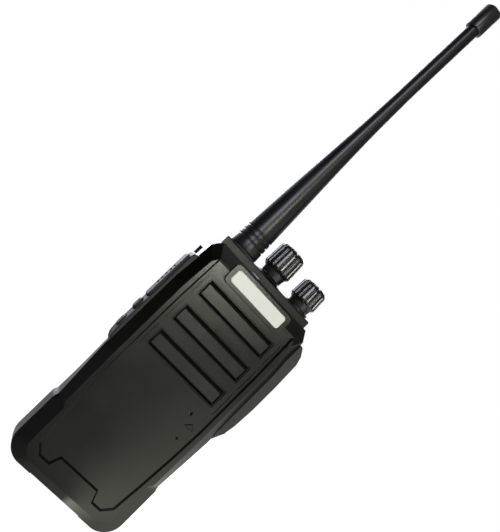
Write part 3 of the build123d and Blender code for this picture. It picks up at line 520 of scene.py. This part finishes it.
def seen_by_camera(owner, lit):
    """Strength 1 for the camera, and the linked strength for every other ray."""
    strength = add_node(owner, "ShaderNodeMix", {"B": 1.0})
    link(owner, camera_ray(owner), strength.inputs["Factor"])
    link(owner, lit, strength.inputs["A"])
    return strength.outputs["Result"]


def pale_floor():
    """A white floor that is bright towards the front right and dim towards the left."""
    material, shader = new_material("pale_floor")
    coords = object_coords(material)
    cloud = noise(material, coords, 3.0)
    tone = mix_colors(material, cloud, (0.1, 0.1, 0.1), (0.11, 0.11, 0.11))
    link(material, tone, shader.inputs["Base Color"])
    shader.inputs["Roughness"].default_value = 0.8
    across, back = split_axes(material, coords)
    ahead = add_node(material, "ShaderNodeMath", {1: -1.0}, operation="MULTIPLY")
    link(material, back, ahead.inputs[0])
    # radians from straight ahead towards the right
    bearing = combined(material, "ARCTAN2", across, ahead.outputs["Value"])
    rise = ramp(material, bearing, 0.24, 0.42, FLOOR["dim"], FLOOR["bright"])
    fall = ramp(material, bearing, 0.5, 0.95, 1.0, FLOOR["past"])
    near = combined(material, "MULTIPLY",
                    ramp(material, back, -0.24, -0.06, 0.0, FLOOR["near"]),
                    ramp(material, across, -0.05, 0.02, 0.0, 1.0))
    fan = combined(material, "MULTIPLY", rise, fall)
    lit = seen_by_camera(material, combined(material, "ADD", fan, near))
    tint = mix_colors(material, camera_ray(material), WARM, WHITE)
    link(material, tint, shader.inputs["Emission Color"])
    link(material, lit, shader.inputs["Emission Strength"])
    form = bmesh.new()
    bmesh.ops.create_grid(form, x_segments=4, y_segments=4, size=3.0)
    floor = mesh_object("floor", form, material)


def soft_light(name, place, aim, size, power, color):
    data = bpy.data.lights.new(name, "AREA")
    data.shape = "RECTANGLE"
    data.size, data.size_y = size
    data.energy = power
    data.color = color
    light = bpy.data.objects.new(name, data)
    light.location = place
    light.rotation_euler = (Vector(aim) - Vector(place)).to_track_quat("-Z", "Y").to_euler()
    bpy.context.scene.collection.objects.link(light)


def studio():
    """White surroundings for the camera; for the object, a room that is dim on its left."""
    world = bpy.data.worlds.new("studio")
    bpy.context.scene.world = world
    world.use_nodes = True
    across, back = split_axes(world, add_node(world, "ShaderNodeTexCoord").outputs["Generated"])
    side = ramp(world, across, -0.35, 0.6, ROOM["left"], ROOM["right"])
    behind = ramp(world, back, 0.2, 0.9, 0.0, ROOM["back"])
    background = world.node_tree.nodes["Background"]
    strength = seen_by_camera(world, combined(world, "ADD", side, behind))
    link(world, strength, background.inputs["Strength"])
    link(world, mix_colors(world, camera_ray(world), COOL, WHITE), background.inputs["Color"])
    for light in LIGHTS:
        soft_light(*light)
    bpy.context.scene.view_settings.view_transform = "Standard"


def camera():
    """The camera looks up a little at the radio from its left, rolled by an eighth of a turn."""
    data = bpy.data.cameras.new("camera")
    data.lens = CAMERA["lens"]
    data.sensor_width = 36.0
    data.clip_start = 0.01
    view = bpy.data.objects.new("camera", data)
    azimuth, elevation = math.radians(CAMERA["azimuth"]), math.radians(CAMERA["elevation"])
    level = Matrix.Rotation(-azimuth, 4, "Z") @ Matrix.Rotation(math.pi / 2 + elevation, 4, "X")
    roll = Matrix.Rotation(math.radians(CAMERA["roll"]), 4, "Z")
    view.matrix_world = Matrix.Translation(CAMERA["place"]) @ level @ roll
    bpy.context.scene.collection.objects.link(view)
    bpy.context.scene.camera = view


camera()
pale_floor()
studio()
dress_nodes()
antenna()
hinge_web()
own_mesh(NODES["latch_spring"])    # gives the latch spring a mesh of its own
# name, node, body, x of the shaft, outer radius, neck radius and height of the ribs' foot
fluted_knob("channel_grip", "channel_knob", "channel_control", 1.5, 7.15, 6.0, 131.6)
fluted_knob("volume_grip", "volume_knob", "volume_control", 20.2, 6.95, 5.9, 130.6)
